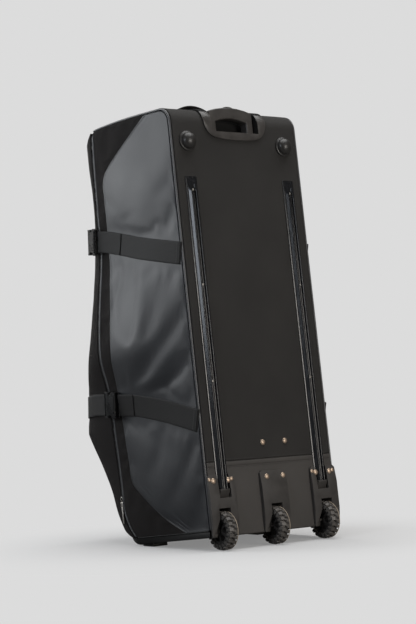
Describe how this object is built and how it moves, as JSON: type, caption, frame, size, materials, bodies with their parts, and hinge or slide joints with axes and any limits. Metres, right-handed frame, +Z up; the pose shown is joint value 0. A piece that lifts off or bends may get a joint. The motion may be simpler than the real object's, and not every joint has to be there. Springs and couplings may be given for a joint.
{
  "type": "cricket kit bag",
  "caption": "Tall wheeled cricket kit bag, standing, with bulging front lid, webbing straps, skid rails and a telescopic handle.",
  "frame": {"origin": "on the floor under the middle of the bounding box, with the bag standing on its wheels and front feet", "axes": "+Z up, -Y towards the bag's front lid, +X towards the bag's left side when its front is faced from inside the bag"},
  "size_m": [0.4274, 0.5428, 1.0021],
  "materials": {
    "coated_cloth": "satin coated cloth",
    "black_cloth": "matt woven cloth",
    "back_cloth": "fine woven cloth",
    "lower_cloth": "smooth coated cloth",
    "webbing": "ribbed webbing",
    "piping": "smooth piping",
    "plastic": "satin moulded",
    "gloss": "polished",
    "rubber": "satin",
    "tyre": "matt",
    "steel": "satin",
    "aluminium": "satin anodised"
  },
  "bodies": {
    "shell": {"axle_left": "steel", "axle_middle": "steel", "axle_right": "steel", "back_panel": "back_cloth", "base_tray": "plastic", "buckle_plug_lower_left": "plastic", "buckle_plug_lower_right": "plastic", "buckle_plug_upper_left": "plastic", "buckle_plug_upper_right": "plastic", "buckle_socket_lower_left": "plastic", "buckle_socket_lower_right": "plastic", "buckle_socket_upper_left": "plastic", "buckle_socket_upper_right": "plastic", "dome_foot_left": "rubber", "dome_foot_right": "rubber", "front_foot_left": "rubber", "front_foot_right": "rubber", "front_lid": "black_cloth", "guide_bracket": "plastic", "gusset_left": "black_cloth", "gusset_right": "black_cloth", "handle_cup": "plastic", "handle_guide_left": "aluminium", "handle_guide_right": "aluminium", "lower_back_panel": "lower_cloth", "rim_piping": "piping", "side_panel_left": "coated_cloth", "side_panel_right": "coated_cloth", "side_piping_left": "piping", "side_piping_right": "piping", "skid_rail_left": "gloss", "skid_rail_right": "gloss", "strap_lower_front": "webbing", "strap_lower_left": "webbing", "strap_lower_right": "webbing", "strap_upper_front": "webbing", "strap_upper_left": "webbing", "strap_upper_right": "webbing", "top_grab_handle": "webbing", "top_panel": "black_cloth", "wheel_housing_left": "plastic", "wheel_housing_middle": "plastic", "wheel_housing_right": "plastic", "zip_pull_left": "steel", "zip_pull_right": "steel", "zip_track": "black_cloth"},
    "handle": {"handle_grip": "plastic", "handle_tube_left": "aluminium", "handle_tube_right": "aluminium"},
    "button": {"push_button": "plastic"},
    "wheel_left": {"tyre_left": "tyre", "hub_left": "plastic"},
    "wheel_middle": {"tyre_middle": "tyre", "hub_middle": "plastic"},
    "wheel_right": {"tyre_right": "tyre", "hub_right": "plastic"}
  },
  "joints": [
    {"name": "handle_slide", "type": "slide", "parent": "shell", "child": "handle", "axis": [0, -0.0934, 0.9956], "range_m": [0, 0.36]},
    {"name": "button_press", "type": "slide", "parent": "handle", "child": "button", "axis": [0, 0.0934, -0.9956], "range_m": [0, 0.003], "stiffness_N_per_m": 300},
    {"name": "wheel_left_spin", "type": "hinge", "parent": "shell", "child": "wheel_left", "pos_m": [0.1445, 0.22913, 0.04231], "axis": [1, 0, 0], "continuous": true},
    {"name": "wheel_middle_spin", "type": "hinge", "parent": "shell", "child": "wheel_middle", "pos_m": [0, 0.22913, 0.04231], "axis": [1, 0, 0], "continuous": true},
    {"name": "wheel_right_spin", "type": "hinge", "parent": "shell", "child": "wheel_right", "pos_m": [-0.1445, 0.22913, 0.04231], "axis": [1, 0, 0], "continuous": true}
  ]
}
